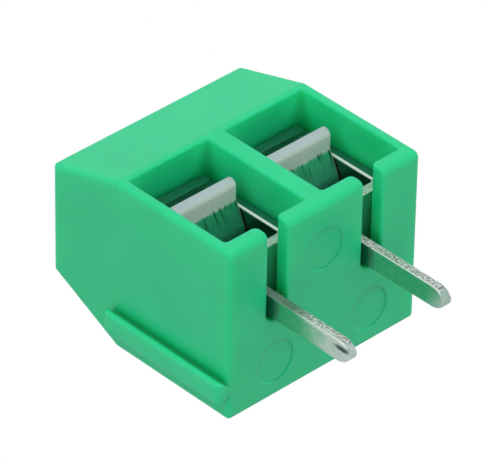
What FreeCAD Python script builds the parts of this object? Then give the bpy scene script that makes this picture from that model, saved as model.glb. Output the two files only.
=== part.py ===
import FreeCAD, Part
import math
import os

# Two-pole board terminal with a wire guard clamp in each pole.
# Frame: origin on the board face midway between the solder pins, +X along the row,
# +Y towards the open back, -Y towards the wire entries, +Z up towards the screws.

# Row
PITCH = 5.08
POLES = 2

# Housing section, seen along the row
BODY_HEIGHT = 10.08
FRONT_REACH = 4.25        # pin line to the wire entry face
BACK_REACH = 3.71         # pin line to the open back face
FRONT_SHOULDER = 6.41     # height where the front slope starts
BACK_SHOULDER = 6.43      # height where the back slope starts
FRONT_SET_IN = 1.82       # how far the front slope leans in at the top
BACK_SET_IN = 1.08        # how far the back slope leans in at the top
SECTION_ROUND = 0.12      # radius of the long outer edges
BACK_ROUND = 0.30         # radius of the long edge between board face and back

# Contact: one strip bent into a ring, its end turned down as the solder pin
SHEET = 0.45
CONTACT_WIDTH = 4.10
CONTACT_HEIGHT = 5.00
CONTACT_DEPTH = 3.55
CONTACT_BACK = 1.90       # pin line to the ring's back edge
CONTACT_ROUND = 0.62      # outer corner radius of the ring
TONGUE_WIDTH = 3.60       # top wall where it reaches behind the ring
TONGUE_REACH = 0.22
COLLAR_DROP = 0.60        # drawn thread collar below the top wall
COLLAR_WALL = 0.23
PIN_WIDTH = 0.95
PIN_REACH = 4.15          # solder pin below the board face
PIN_TAPER = 0.60          # length of the rounded tip
PIN_TIP = 0.30            # width left at the tip
PIN_BEND = 0.20           # inner radius where the strip turns down
PIN_EDGE = 0.06
SEAM_GAP = 0.10           # between the ring's free end and the pin's bend

# Housing cavities
LEDGE = 0.73              # wall between the pocket and the board face
CONTACT_SIDE_GAP = 0.05
CONTACT_LIFT = 0.42       # ring above the ledge
CONTACT_TOP_GAP = 0.07
CONTACT_FRONT_GAP = 0.10
PIN_SLOT_GAP = 0.30       # beside the pin
PIN_FRONT_GAP = 0.10      # in front of the pin
SLOT_CORNER = 0.40
SLOT_LEAD_IN = 0.25
POCKET_CORNER = 0.15
ENTRY_SIDE_GAP = 0.10     # entry throat inside the ring's clear width
ENTRY_HEIGHT = 2.90
ENTRY_FLARE = 0.40
ENTRY_FLARE_DEPTH = 0.80
ENTRY_CORNER = 0.50
WELL_FLOOR = 0.45         # wall between the pocket and the screw well
WELL_CHAMFER = 0.15

# End rail, which joins the block to others of a row
RAIL_PROTRUSION = 0.50
RAIL_WIDTH = 1.50
RAIL_NECK = 0.46
RAIL_FRONT = 0.67         # wire entry face to the rail
RAIL_LENGTH = 6.58        # from the board face
RAIL_ROUND = 0.40         # radius of the rail's upper corners
RAIL_END = 0.30           # radius of its outer edge at the board face
RAIL_EDGE = 0.16

# Ejector marks on the board face
MARK_RADIUS = 0.95
MARK_DEPTH = 0.05
MARK_FRONT = 1.60         # wire entry face to the marks in line with the poles
MARK_BACK = 2.20          # back face to the mark between the poles

# Wire guard: a folded steel strip pressed down by the screw
GUARD_SHEET = 0.25
GUARD_SIDE_GAP = 0.05
GUARD_HEIGHT = 3.45       # lower face of the flat run above the board face
GUARD_FLAT_BACK = 1.15    # flat run behind the screw axis
GUARD_FLAT_FRONT = 1.08   # flat run in front of the screw axis
GUARD_LIP = 0.36          # rise of the front lip
GUARD_LIP_REACH = 1.55    # front lip in front of the screw axis
GUARD_RISE = 0.54         # lower arm of the back fold above the flat run
GUARD_RAMP = 1.05         # length of the ramp up to the back fold
FOLD_GAP = 0.06           # between the two arms of the back fold
FOLD_OUT = 1.20           # back fold behind the ring
FOLD_STOP_GAP = 0.20      # upper arm's end behind the ring
GUARD_BEND = 0.40

# Clamp screw, M2.5 with a slotted cross head
SCREW_DIAMETER = 2.40
THREAD_GAP = 0.05
SHANK_GAP = 0.25          # round the shank in the well's floor
HEAD_DIAMETER = 3.60
HEAD_HEIGHT = 1.20
HEAD_GAP = 0.20
HEAD_EDGE = 0.18
SLOT_WIDTH = 0.60
SLOT_DEPTH = 0.70
CROSS_LENGTH = 2.20
TIP_CHAMFER = 0.45
TIP_GAP = 0.03
CLOSE_TRAVEL = 1.45       # screw and guard below the pictured place
CLOSED_GAP = 0.10         # head above the well's floor when fully closed

# Dependent places and sizes
HALF_LENGTH = POLES * PITCH / 2
POCKET_HALF = CONTACT_WIDTH / 2 + CONTACT_SIDE_GAP
END_WALL = PITCH / 2 - POCKET_HALF
END_ROUND = END_WALL / 2    # radius round both end faces
MOUTH_ROUND = END_WALL / 4  # radius round the pocket and wire entry mouths
CONTACT_BOTTOM = LEDGE + CONTACT_LIFT
CONTACT_TOP = CONTACT_BOTTOM + CONTACT_HEIGHT
POCKET_TOP = CONTACT_TOP + CONTACT_TOP_GAP
CONTACT_FRONT = CONTACT_BACK - CONTACT_DEPTH
POCKET_FRONT = CONTACT_FRONT - CONTACT_FRONT_GAP
RING_HALF = CONTACT_WIDTH / 2 - SHEET
RING_FLOOR = CONTACT_BOTTOM + SHEET
HOLE_RADIUS = SCREW_DIAMETER / 2 + THREAD_GAP
COLLAR_RADIUS = HOLE_RADIUS + COLLAR_WALL
COLLAR_BOTTOM = CONTACT_TOP - SHEET - COLLAR_DROP
GUARD_HALF = RING_HALF - GUARD_SIDE_GAP
GUARD_MIDDLE = GUARD_HEIGHT + GUARD_SHEET / 2
WELL_BOTTOM = POCKET_TOP + WELL_FLOOR
HEAD_BOTTOM = WELL_BOTTOM + CLOSED_GAP + CLOSE_TRAVEL
HEAD_TOP = HEAD_BOTTOM + HEAD_HEIGHT
SCREW_TIP = GUARD_HEIGHT + GUARD_SHEET + TIP_GAP
WELL_RADIUS = HEAD_DIAMETER / 2 + HEAD_GAP
OVERCUT = 1.0             # how far cutting tools run past an open face
JOINED = 1e-6             # two arcs whose ends are this close meet with no straight run


def pole_places():
    """X of each pole, from -X to +X."""
    return [(index - (POLES - 1) / 2) * PITCH for index in range(POLES)]


def corner(before, point, after, radius):
    """Start, middle and end of the arc that rounds a corner in a plane."""
    to_before = (before - point).normalize()
    to_after = (after - point).normalize()
    half = to_before.getAngle(to_after) / 2
    bisector = (to_before + to_after).normalize()
    centre = point + bisector * (radius / math.sin(half))
    start = point + to_before * (radius / math.tan(half))
    end = point + to_after * (radius / math.tan(half))
    return start, centre - bisector * radius, end


def rounded_face(points, radii):
    """Flat face inside a closed outline whose corners are rounded."""
    corners = []
    count = len(points)
    for index, point in enumerate(points):
        if radii[index] > 0:
            before = points[index - 1]
            after = points[(index + 1) % count]
            corners.append(corner(before, point, after, radii[index]))
        else:
            corners.append((point, None, point))
    edges = []
    for index, (start, middle, end) in enumerate(corners):
        if middle is not None:
            edges.append(Part.Arc(start, middle, end).toShape())
        next_start = corners[(index + 1) % count][0]
        if (next_start - end).Length > JOINED:
            edges.append(Part.LineSegment(end, next_start).toShape())
    return Part.Face(Part.Wire(edges))


def section(points, x=0.0):
    """Points given as (y, z) in a plane across the row."""
    return [FreeCAD.Vector(x, y, z) for y, z in points]


def elevation(points, y=0.0):
    """Points given as (x, z) in a plane along the row."""
    return [FreeCAD.Vector(x, y, z) for x, z in points]


def box(x, y, z):
    """Box between three pairs of limits."""
    corner_point = FreeCAD.Vector(x[0], y[0], z[0])
    return Part.makeBox(x[1] - x[0], y[1] - y[0], z[1] - z[0], corner_point)


def upright(radius, bottom, top, x=0.0, y=0.0):
    """Cylinder along Z."""
    return Part.makeCylinder(radius, top - bottom, FreeCAD.Vector(x, y, bottom))


def housing_block():
    """Outer form of the housing with rounded edges."""
    outline = section([
        (-FRONT_REACH, 0),
        (BACK_REACH, 0),
        (BACK_REACH, BACK_SHOULDER),
        (BACK_REACH - BACK_SET_IN, BODY_HEIGHT),
        (-FRONT_REACH + FRONT_SET_IN, BODY_HEIGHT),
        (-FRONT_REACH, FRONT_SHOULDER),
    ], -HALF_LENGTH)
    radii = [SECTION_ROUND, BACK_ROUND] + [SECTION_ROUND] * (len(outline) - 2)
    face = rounded_face(outline, radii)
    block = face.extrude(FreeCAD.Vector(2 * HALF_LENGTH, 0, 0))
    end_edges = [edge for edge in block.Edges
                 if all(abs(abs(vertex.X) - HALF_LENGTH) < JOINED for vertex in edge.Vertexes)]
    return block.makeFillet(END_ROUND, end_edges)


def pocket(x):
    """Room for one contact, open at the back."""
    outline = elevation([
        (x - POCKET_HALF, LEDGE),
        (x + POCKET_HALF, LEDGE),
        (x + POCKET_HALF, POCKET_TOP),
        (x - POCKET_HALF, POCKET_TOP),
    ], POCKET_FRONT)
    face = rounded_face(outline, [POCKET_CORNER] * 4)
    return face.extrude(FreeCAD.Vector(0, BACK_REACH - POCKET_FRONT + OVERCUT, 0))


def pin_slot(x):
    """Slot through the ledge for one pin, open at the back, widened towards the pocket."""
    half = SHEET / 2 + PIN_SLOT_GAP
    front = -PIN_WIDTH / 2 - PIN_FRONT_GAP
    back = BACK_REACH + OVERCUT
    plan = [FreeCAD.Vector(x + dx, y, -OVERCUT)
            for dx, y in ((-half, front), (half, front), (half, back), (-half, back))]
    face = rounded_face(plan, [SLOT_CORNER, SLOT_CORNER, 0, 0])
    slot = face.extrude(FreeCAD.Vector(0, 0, LEDGE + 2 * OVERCUT))
    wide = half + SLOT_LEAD_IN
    mouth = box((x - wide, x + wide), (front, back), (LEDGE - SLOT_LEAD_IN, LEDGE + SLOT_LEAD_IN))
    for side in (-1, 1):
        axis = FreeCAD.Vector(x + side * wide, front, LEDGE - SLOT_LEAD_IN)
        lip = Part.makeCylinder(SLOT_LEAD_IN, back - front, axis, FreeCAD.Vector(0, 1, 0))
        mouth = mouth.cut(lip)
    return slot.fuse(mouth)


def entry_outline(x, y, grow):
    """Rounded outline of the wire entry, grown by the given amount."""
    half = RING_HALF - ENTRY_SIDE_GAP + grow
    points = elevation([
        (x - half, RING_FLOOR - grow),
        (x + half, RING_FLOOR - grow),
        (x + half, RING_FLOOR + ENTRY_HEIGHT + grow),
        (x - half, RING_FLOOR + ENTRY_HEIGHT + grow),
    ], y)
    return rounded_face(points, [ENTRY_CORNER] * 4)


def wire_entry(x):
    """Throat and flared mouth of one wire entry."""
    throat = entry_outline(x, -FRONT_REACH, 0)
    throat = throat.extrude(FreeCAD.Vector(0, FRONT_REACH + POCKET_FRONT + CONTACT_FRONT_GAP / 2, 0))
    per_depth = ENTRY_FLARE / ENTRY_FLARE_DEPTH
    outside = entry_outline(x, -FRONT_REACH - OVERCUT, ENTRY_FLARE + per_depth * OVERCUT)
    inside = entry_outline(x, -FRONT_REACH + ENTRY_FLARE_DEPTH, 0)
    flare = Part.makeLoft([outside.OuterWire, inside.OuterWire], True, True)
    return throat.fuse(flare)


def screw_well(x):
    """Round well above one screw, with a chamfered mouth and a hole in its floor."""
    well = upright(WELL_RADIUS, WELL_BOTTOM, BODY_HEIGHT + OVERCUT, x)
    hole_bottom = (CONTACT_TOP + POCKET_TOP) / 2
    hole = upright(SCREW_DIAMETER / 2 + SHANK_GAP, hole_bottom, WELL_BOTTOM + OVERCUT, x)
    mouth = Part.makeCone(WELL_RADIUS, WELL_RADIUS + 2 * WELL_CHAMFER, 2 * WELL_CHAMFER,
                          FreeCAD.Vector(x, 0, BODY_HEIGHT - WELL_CHAMFER))
    return well.fuse([hole, mouth])


def rail():
    """Dovetail rail on the +X end, with its upper corners and its end at the board face rounded."""
    front = -FRONT_REACH + RAIL_FRONT
    back = front + RAIL_WIDTH
    neck_in = (RAIL_WIDTH - RAIL_NECK) / 2
    root = HALF_LENGTH - OVERCUT / 4
    outer = HALF_LENGTH + RAIL_PROTRUSION
    points = [
        FreeCAD.Vector(root, front + neck_in, 0),
        FreeCAD.Vector(HALF_LENGTH, front + neck_in, 0),
        FreeCAD.Vector(outer, front, 0),
        FreeCAD.Vector(outer, back, 0),
        FreeCAD.Vector(HALF_LENGTH, back - neck_in, 0),
        FreeCAD.Vector(root, back - neck_in, 0),
    ]
    bar = rounded_face(points, [0, 0, RAIL_EDGE, RAIL_EDGE, 0, 0]).extrude(FreeCAD.Vector(0, 0, RAIL_LENGTH))
    side = rounded_face(
        section([(front, 0), (back, 0), (back, RAIL_LENGTH), (front, RAIL_LENGTH)], root),
        [0, 0, RAIL_ROUND, RAIL_ROUND])
    across = rounded_face(
        elevation([(root, 0), (outer, 0), (outer, RAIL_LENGTH), (root, RAIL_LENGTH)], front),
        [0, RAIL_END, RAIL_EDGE, 0])
    bar = bar.common(side.extrude(FreeCAD.Vector(outer - root, 0, 0)))
    return bar.common(across.extrude(FreeCAD.Vector(0, RAIL_WIDTH, 0)))


def ejector_marks():
    """Shallow round marks that the mould's ejectors leave on the board face."""
    marks = []
    for x in pole_places():
        marks.append((x, -FRONT_REACH + MARK_FRONT))
    for left, right in zip(pole_places(), pole_places()[1:]):
        marks.append(((left + right) / 2, BACK_REACH - MARK_BACK))
    return [upright(MARK_RADIUS, -OVERCUT, MARK_DEPTH, x, y) for x, y in marks]


def mouth_edges(solid, y, top):
    """Edges of the openings in the face at y, away from that face's own outline."""
    edges = []
    for edge in solid.Edges:
        middle = edge.CenterOfMass
        on_face = all(abs(vertex.Y - y) < JOINED for vertex in edge.Vertexes)
        across = abs(middle.x) < HALF_LENGTH - END_ROUND - JOINED
        up = SECTION_ROUND + JOINED < middle.z < top
        if on_face and across and up:
            edges.append(edge)
    return edges


def housing():
    """Moulded housing, one solid."""
    solid = housing_block().fuse(rail())
    tools = ejector_marks()
    for x in pole_places():
        tools += [pocket(x), pin_slot(x), wire_entry(x), screw_well(x)]
    solid = solid.cut(tools).removeSplitter()
    solid = solid.makeFillet(MOUTH_ROUND, mouth_edges(solid, BACK_REACH, POCKET_TOP + JOINED))
    entry_top = RING_FLOOR + ENTRY_HEIGHT + ENTRY_FLARE + JOINED
    return solid.makeFillet(MOUTH_ROUND, mouth_edges(solid, -FRONT_REACH, entry_top))


def pin_tip(x):
    """Outline that rounds the pin's tip in side view."""
    half = PIN_WIDTH / 2
    drop = half - PIN_TIP / 2
    radius = (PIN_TAPER ** 2 + drop ** 2) / (2 * drop)
    turn = math.asin(PIN_TAPER / radius) / 2
    start = -PIN_REACH + PIN_TAPER
    middle_y = half - radius * (1 - math.cos(turn))
    middle_z = start - radius * math.sin(turn)
    top = CONTACT_BOTTOM + OVERCUT
    left = x - SHEET - OVERCUT

    def at(y, z):
        return FreeCAD.Vector(left, y, z)

    edges = [
        Part.LineSegment(at(-half, top), at(half, top)).toShape(),
        Part.LineSegment(at(half, top), at(half, start)).toShape(),
        Part.Arc(at(half, start), at(middle_y, middle_z), at(PIN_TIP / 2, -PIN_REACH)).toShape(),
        Part.LineSegment(at(PIN_TIP / 2, -PIN_REACH), at(-PIN_TIP / 2, -PIN_REACH)).toShape(),
        Part.Arc(at(-PIN_TIP / 2, -PIN_REACH), at(-middle_y, middle_z), at(-half, start)).toShape(),
        Part.LineSegment(at(-half, start), at(-half, top)).toShape(),
    ]
    face = Part.Face(Part.Wire(edges))
    return face.extrude(FreeCAD.Vector(2 * (SHEET + OVERCUT), 0, 0))


def solder_pin(x):
    """Strip end: a neck in the ring's floor, a bend and the pin below it."""
    outer = PIN_BEND + SHEET
    points = elevation([
        (x - SHEET / 2 - outer, RING_FLOOR),
        (x + SHEET / 2, RING_FLOOR),
        (x + SHEET / 2, -PIN_REACH),
        (x - SHEET / 2, -PIN_REACH),
        (x - SHEET / 2, CONTACT_BOTTOM),
        (x - SHEET / 2 - outer, CONTACT_BOTTOM),
    ], -PIN_WIDTH / 2)
    strip = rounded_face(points, [0, outer, 0, 0, PIN_BEND, 0])
    pin = strip.extrude(FreeCAD.Vector(0, PIN_WIDTH, 0))
    pin = pin.common(pin_tip(x))
    long_edges = [edge for edge in pin.Edges
                  if abs(edge.Vertexes[0].Z - edge.Vertexes[-1].Z) > PIN_TAPER / 2]
    return pin.makeFillet(PIN_EDGE, long_edges)


def ring(x):
    """Bent ring of the contact, with its floor open round the pin's neck."""
    half = CONTACT_WIDTH / 2
    outside = elevation([
        (x - half, CONTACT_BOTTOM),
        (x + half, CONTACT_BOTTOM),
        (x + half, CONTACT_TOP),
        (x - half, CONTACT_TOP),
    ], CONTACT_FRONT)
    inside = elevation([
        (x - RING_HALF, RING_FLOOR),
        (x + RING_HALF, RING_FLOOR),
        (x + RING_HALF, CONTACT_TOP - SHEET),
        (x - RING_HALF, CONTACT_TOP - SHEET),
    ], CONTACT_FRONT)
    outer = rounded_face(outside, [CONTACT_ROUND] * 4)
    inner = rounded_face(inside, [CONTACT_ROUND - SHEET] * 4)
    depth = FreeCAD.Vector(0, CONTACT_DEPTH, 0)
    solid = outer.extrude(depth).cut(inner.extrude(depth))
    tongue = box((x - TONGUE_WIDTH / 2, x + TONGUE_WIDTH / 2),
                 (CONTACT_BACK - SHEET, CONTACT_BACK + TONGUE_REACH),
                 (CONTACT_TOP - SHEET, CONTACT_TOP))
    gap = box((x - SHEET / 2 - PIN_BEND, x + SHEET / 2 + SEAM_GAP),
              (CONTACT_FRONT - OVERCUT, CONTACT_BACK + OVERCUT),
              (CONTACT_BOTTOM - OVERCUT, RING_FLOOR + OVERCUT))
    return solid.fuse(tongue).cut(gap)


def contact(x):
    """Contact of one pole, one bent strip with a drawn and threaded collar."""
    collar = upright(COLLAR_RADIUS, COLLAR_BOTTOM, CONTACT_TOP - SHEET / 2, x)
    hole = upright(HOLE_RADIUS, COLLAR_BOTTOM - OVERCUT, CONTACT_TOP + OVERCUT, x)
    solid = ring(x).fuse([collar, solder_pin(x)])
    return solid.cut(hole).removeSplitter()


def strip_face(path, radii, thickness):
    """Flat face of the given thickness along an open path of straight runs and bends."""
    outline = []
    bends = []
    for side in (1, -1):
        points = []
        rounds = []
        for index, point in enumerate(path):
            runs = [(after - before).normalize()
                    for before, after in zip(path[max(index - 1, 0):], path[max(index, 1):index + 2])]
            across = [FreeCAD.Vector(0, -run.z, run.y) * side for run in runs]
            mitre = (across[0] + across[-1]).normalize()
            points.append(point + mitre * (thickness / 2 / mitre.dot(across[0])))
            turn = runs[0].cross(runs[-1]).x * side
            inside = math.copysign(thickness / 2, turn)
            rounds.append(radii[index] - inside if radii[index] else 0)
        outline += points[::side]
        bends += rounds[::side]
    return rounded_face(outline, bends)


def wire_guard(x):
    """Guard of one pole: front lip, flat run under the screw, ramp and back fold."""
    arm_low = GUARD_MIDDLE + GUARD_RISE
    arm_high = arm_low + FOLD_GAP + GUARD_SHEET
    fold_end = CONTACT_BACK + FOLD_OUT - GUARD_SHEET / 2
    path = section([
        (CONTACT_BACK + FOLD_STOP_GAP, arm_high),
        (fold_end, arm_high),
        (fold_end, arm_low),
        (GUARD_FLAT_BACK + GUARD_RAMP, arm_low),
        (GUARD_FLAT_BACK, GUARD_MIDDLE),
        (-GUARD_FLAT_FRONT, GUARD_MIDDLE),
        (-GUARD_LIP_REACH, GUARD_MIDDLE + GUARD_LIP),
    ], x - GUARD_HALF)
    fold = (FOLD_GAP + GUARD_SHEET) / 2
    radii = [0, fold, fold, GUARD_BEND, GUARD_BEND, GUARD_BEND, 0]
    face = strip_face(path, radii, GUARD_SHEET)
    return face.extrude(FreeCAD.Vector(2 * GUARD_HALF, 0, 0))


def clamp_screw(x):
    """Screw of one pole, its head cut with a slot and a shorter cross slot."""
    tip_radius = SCREW_DIAMETER / 2 - TIP_CHAMFER
    tip = Part.makeCone(tip_radius, SCREW_DIAMETER / 2, TIP_CHAMFER, FreeCAD.Vector(x, 0, SCREW_TIP))
    shank = upright(SCREW_DIAMETER / 2, SCREW_TIP + TIP_CHAMFER, HEAD_BOTTOM + HEAD_HEIGHT / 4, x)
    head = upright(HEAD_DIAMETER / 2, HEAD_BOTTOM, HEAD_TOP, x)
    rims = [edge for edge in head.Edges if len(edge.Vertexes) == 1]
    head = head.makeFillet(HEAD_EDGE, rims)
    half = SLOT_WIDTH / 2
    cut_height = (HEAD_TOP - SLOT_DEPTH, HEAD_TOP + OVERCUT)
    reach = HEAD_DIAMETER / 2 + OVERCUT
    slot = box((x - reach, x + reach), (-half, half), cut_height)
    cross = box((x - half, x + half), (-CROSS_LENGTH / 2, CROSS_LENGTH / 2), cut_height)
    return head.cut([slot, cross]).fuse([shank, tip]).removeSplitter()


def save(shape, name):
    """Write one piece and report its volume."""
    shape.exportStep(os.path.join("parts", name + ".step"))
    print(name, "solids", len(shape.Solids), "valid", shape.isValid(), "mm3", round(shape.Volume, 3))


os.makedirs("parts", exist_ok=True)
save(housing(), "housing")
for number, place in enumerate(pole_places(), start=1):
    save(contact(place), "contact_%d" % number)
    save(wire_guard(place), "wire_guard_%d" % number)
    save(clamp_screw(place), "clamp_screw_%d" % number)
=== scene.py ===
"""Board screw terminal: its finishes, its threaded clamp screws, the studio and the camera.

Lengths are in metres in the part's own frame: +X along the row towards the rail, +Y out of the open
back, +Z up towards the screws, with the board face at Z = 0.
"""
import logging
import math
from collections.abc import Callable
from dataclasses import dataclass, field
from enum import Enum

import bmesh
import bpy
from mathutils import Matrix, Vector


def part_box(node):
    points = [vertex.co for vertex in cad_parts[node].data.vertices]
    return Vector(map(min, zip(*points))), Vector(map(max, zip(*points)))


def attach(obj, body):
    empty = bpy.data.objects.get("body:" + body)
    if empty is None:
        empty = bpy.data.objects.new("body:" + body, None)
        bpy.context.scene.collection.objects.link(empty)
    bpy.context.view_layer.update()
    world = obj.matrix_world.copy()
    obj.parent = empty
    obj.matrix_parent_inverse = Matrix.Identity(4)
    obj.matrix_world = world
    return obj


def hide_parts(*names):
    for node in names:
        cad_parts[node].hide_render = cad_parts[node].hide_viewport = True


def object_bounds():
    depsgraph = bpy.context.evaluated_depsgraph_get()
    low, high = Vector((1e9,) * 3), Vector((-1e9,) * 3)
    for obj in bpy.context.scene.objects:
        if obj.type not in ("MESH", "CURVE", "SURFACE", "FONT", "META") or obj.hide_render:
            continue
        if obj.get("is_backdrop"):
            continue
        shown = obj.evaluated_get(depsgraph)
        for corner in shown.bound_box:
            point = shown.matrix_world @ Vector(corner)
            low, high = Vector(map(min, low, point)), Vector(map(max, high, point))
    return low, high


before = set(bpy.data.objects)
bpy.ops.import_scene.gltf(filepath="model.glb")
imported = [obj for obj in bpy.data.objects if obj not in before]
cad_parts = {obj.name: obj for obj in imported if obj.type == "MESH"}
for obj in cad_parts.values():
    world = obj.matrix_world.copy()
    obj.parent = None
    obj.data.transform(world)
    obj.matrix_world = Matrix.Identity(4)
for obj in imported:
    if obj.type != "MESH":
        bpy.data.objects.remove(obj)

MM = 0.001
HALF_PITCH = 2.54 * MM
WHITE = (1.0, 1.0, 1.0)
FLAT = (1.0, 1.0, 0.0)
MIDDLE = 0.5
SAMPLES = 6
NODE_SPACING = 220
Three = tuple[float, float, float]
Colour = Three
Range = tuple[float, float]
Node = bpy.types.Node
Socket = bpy.types.NodeSocket
Number = Socket | float
Triple = Socket | Three | Vector

log = logging.getLogger("screw_terminal")


class Slot(Enum):
    """Material slot of the record for the screw; nothing in this script reads it."""

    SCREW = "screw_steel"


class Axis(Enum):
    """Direction in the part's frame."""

    X = 0
    Y = 1
    Z = 2


class Graph:
    """A shader node tree that is filled from left to right."""

    def __init__(self, tree: bpy.types.NodeTree) -> None:
        """Starts on an existing tree.

        Args:
            tree: the tree of a material, a world or a node group.
        """
        self.tree = tree
        self.column = 0
        self.coordinates: Node | None = None
        self.split: dict[str, Node] = {}

    def feed(self, node: Node, inputs: dict) -> None:
        """Sets or links inputs of a node.

        Args:
            node: the node.
            inputs: socket name or number to a number, a vector, a colour or another node's output.
        """
        for name, value in inputs.items():
            socket = node.inputs[name]
            if isinstance(value, Socket):
                self.tree.links.new(value, socket)
            else:
                socket.default_value = (*value, 1.0) if socket.type == "RGBA" else value

    def add(self, kind: str, inputs: dict | None = None, **settings: object) -> Node:
        """Adds one node.

        Args:
            kind: the node's type name.
            inputs: what its inputs are fed with.
            **settings: attributes of the node.

        Returns:
            The new node.
        """
        node = self.tree.nodes.new(kind)
        node.location = (self.column * NODE_SPACING, 0)
        self.column += 1
        for name, value in settings.items():
            setattr(node, name, value)
        self.feed(node, inputs or {})
        return node

    def use(self, group: bpy.types.NodeTree, **inputs: float) -> bpy.types.NodeOutputs:
        """Places a node group, with underscores for spaces in its inputs' names, and gives its outputs."""
        named = {name.replace("_", " "): value for name, value in inputs.items()}
        return self.add("ShaderNodeGroup", named, node_tree=group).outputs

    def place(self, space: str = "Object") -> Socket:
        """Gives the place or the normal at each point.

        Args:
            space: the name of the coordinates.

        Returns:
            The output of one node that serves the whole tree.
        """
        if self.coordinates is None:
            self.coordinates = self.add("ShaderNodeTexCoord")
        return self.coordinates.outputs[space]

    def along(self, axis: Axis, space: str = "Object") -> Socket:
        """Gives one part of the place or of the normal.

        Args:
            axis: the direction of the part.
            space: the name of the coordinates.

        Returns:
            The output.
        """
        if space not in self.split:
            self.split[space] = self.add("ShaderNodeSeparateXYZ", {0: self.place(space)})
        return self.split[space].outputs[axis.name]

    def math(self, operation: str, *values: Number, clamp: bool = False) -> Socket:
        """Adds a Math node with numbers or outputs in socket order; clamp keeps its result in 0 to 1."""
        inputs = dict(enumerate(values))
        return self.add("ShaderNodeMath", inputs, operation=operation, use_clamp=clamp).outputs[0]

    def product(self, first: Socket, *others: Number) -> Socket:
        """Multiplies values.

        Args:
            first: the first value.
            *others: numbers or outputs.

        Returns:
            The product.
        """
        for other in others:
            first = self.math("MULTIPLY", first, other)
        return first

    def apart(self, value: Socket, centre: float) -> Socket:
        """Distance of a value from a fixed one, never below 0."""
        return self.math("ABSOLUTE", self.math("SUBTRACT", value, centre))

    def vector(self, operation: str, *values: Triple) -> Socket:
        """Adds a Vector Math node and gives its number where it makes one, or else its vector."""
        node = self.add("ShaderNodeVectorMath", dict(enumerate(values)), operation=operation)
        return node.outputs["Value" if operation in ("LENGTH", "DOT_PRODUCT") else "Vector"]

    def noise(self, place: Socket, **inputs: Number) -> Socket:
        """Adds noise that is read at a place, 0.5 on average."""
        return self.add("ShaderNodeTexNoise", {"Vector": place, **inputs}).outputs[0]

    def ramp(self, value: Socket, low: float, high: float, start: float = 0.0, end: float = 1.0) -> Socket:
        """Maps a value from low and high to start and end and keeps it between them."""
        inputs = {"Value": value, "From Min": low, "From Max": high, "To Min": start, "To Max": end}
        return self.add("ShaderNodeMapRange", inputs, clamp=True).outputs["Result"]

    def mix(self, factor: Socket, first: Triple, second: Triple) -> Socket:
        """Mixes two colours; factor 0 gives the first one and 1 the second."""
        return self.add("ShaderNodeMix", {0: factor, 6: first, 7: second}, data_type="RGBA").outputs[2]

    def blend(self, factor: Socket, first: Number, second: Number) -> Socket:
        """Mixes two numbers; factor 0 gives the first one and 1 the second."""
        return self.add("ShaderNodeMix", {0: factor, 2: first, 3: second}, data_type="FLOAT").outputs[0]

    def bump(self, height: Socket, normal: Socket, strength: float, distance: float) -> Socket:
        """Tilts a normal by a relief that is distance metres high."""
        return self.add("ShaderNodeBump", {
            "Height": height, "Normal": normal, "Strength": strength, "Distance": distance}).outputs[0]


@dataclass(frozen=True)
class Grain:
    """Size, contrast and roughness of a speckle."""

    size: float
    contrast: float
    roughness: float


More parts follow.
